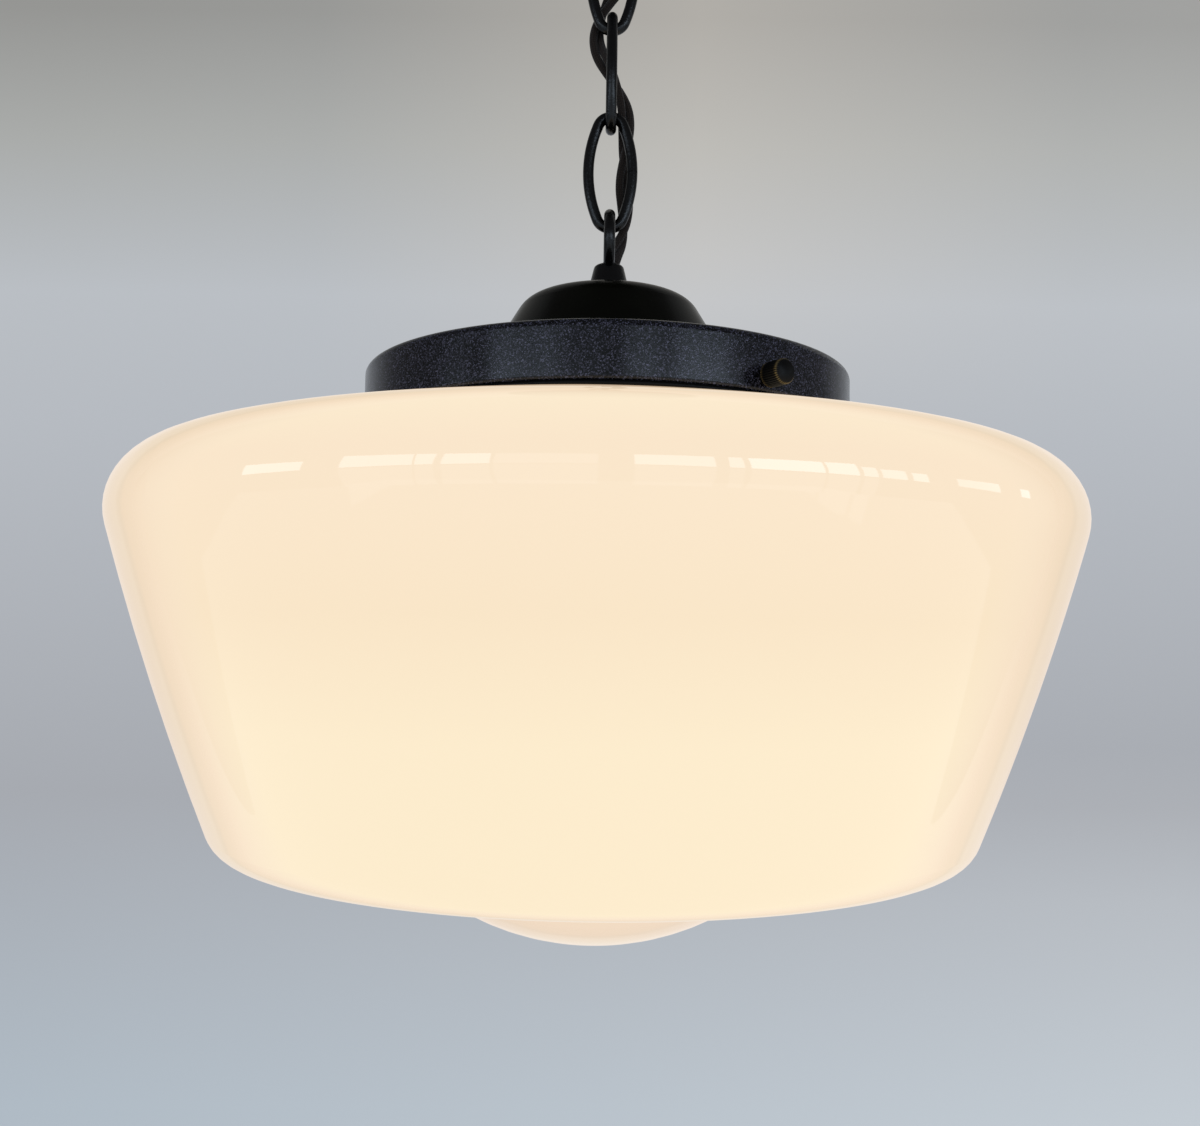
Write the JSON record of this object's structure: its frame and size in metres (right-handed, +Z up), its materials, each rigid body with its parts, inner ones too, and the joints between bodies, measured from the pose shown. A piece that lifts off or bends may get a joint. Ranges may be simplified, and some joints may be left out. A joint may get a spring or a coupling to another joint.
{
  "type": "pendant light",
  "caption": "Pendant light with an opal schoolhouse glass shade in a black shade holder, hung by a short chain from a ceiling canopy, with thumbscrews and a removable bulb",
  "frame": {"origin": "centre of the mounting strap's upper face, on the ceiling plane and on the axis of the chain", "axes": "+Z up along the chain and out of the ceiling side of the strap, +X along the strap, -Y towards the viewer of the picture"},
  "size_m": [0.3051, 0.3052, 0.4178],
  "materials": {
    "black_metal": "satin",
    "zinc_steel": "satin",
    "green_steel": "gloss",
    "opal_glass": "gloss",
    "brass": "satin",
    "black_phenolic": "matte",
    "nickel": "satin",
    "white_plastic": "matte",
    "frosted_white": "matte",
    "brown_cloth": "matte",
    "orange_plastic": "matte"
  },
  "bodies": {
    "ceiling_mount": {"mounting_strap": "zinc_steel", "ground_screw": "green_steel", "strap_nipple": "zinc_steel", "strap_locknut": "zinc_steel", "ceiling_canopy": "black_metal", "canopy_loop": "black_metal", "canopy_collar": "black_metal", "ceiling_leads": "brown_cloth", "wire_connectors": "orange_plastic", "supply_cord": "brown_cloth"},
    "link_1": {"link_1": "black_metal"},
    "link_2": {"link_2": "black_metal"},
    "link_3": {"link_3": "black_metal"},
    "fixture": {"fixture_loop": "black_metal", "vase_cap": "black_metal", "shade_holder": "black_metal", "glass_shade": "opal_glass", "fixture_nipple": "zinc_steel", "lock_washer": "zinc_steel", "hex_nut": "zinc_steel", "lampholder_cap": "brass", "lampholder_body": "black_phenolic", "screw_shell": "brass", "centre_contact": "brass", "terminal_screws": "brass", "lampholder_leads": "brown_cloth"},
    "thumbscrew_1": {"thumbscrew_1": "black_metal"},
    "thumbscrew_2": {"thumbscrew_2": "black_metal"},
    "thumbscrew_3": {"thumbscrew_3": "black_metal"},
    "bulb": {"bulb_diffuser": "frosted_white", "bulb_housing": "white_plastic", "bulb_screw_base": "nickel", "bulb_contact": "black_phenolic"}
  },
  "joints": [
    {"name": "loop_to_link_1", "type": "hinge", "parent": "ceiling_mount", "child": "link_1", "pos_m": [0, 0, -0.0606], "axis": [0, 1, 0], "range_deg": [-20, 20], "deforming": ["supply_cord"]},
    {"name": "link_1_to_link_2", "type": "hinge", "parent": "link_1", "child": "link_2", "pos_m": [0, 0, -0.0955], "axis": [1, 0, 0], "range_deg": [-20, 20], "deforming": ["supply_cord"]},
    {"name": "link_2_to_link_3", "type": "hinge", "parent": "link_2", "child": "link_3", "pos_m": [0, 0, -0.13045], "axis": [0, 1, 0], "range_deg": [-20, 20], "deforming": ["supply_cord"]},
    {"name": "link_3_to_fixture", "type": "hinge", "parent": "link_3", "child": "fixture", "pos_m": [0, 0, -0.1654], "axis": [1, 0, 0], "range_deg": [-20, 20], "deforming": ["supply_cord"]},
    {"name": "thumbscrew_1_out", "type": "slide", "parent": "fixture", "child": "thumbscrew_1", "axis": [0.5446, -0.8387, 0], "range_m": [0, 0.006]},
    {"name": "thumbscrew_2_out", "type": "slide", "parent": "fixture", "child": "thumbscrew_2", "axis": [0.454, 0.891, 0], "range_m": [0, 0.006]},
    {"name": "thumbscrew_3_out", "type": "slide", "parent": "fixture", "child": "thumbscrew_3", "axis": [-0.9945, -0.1045, 0], "range_m": [0, 0.006]},
    {"name": "bulb_out", "type": "slide", "parent": "fixture", "child": "bulb", "axis": [0, 0, -1], "range_m": [0, 0.027]}
  ]
}
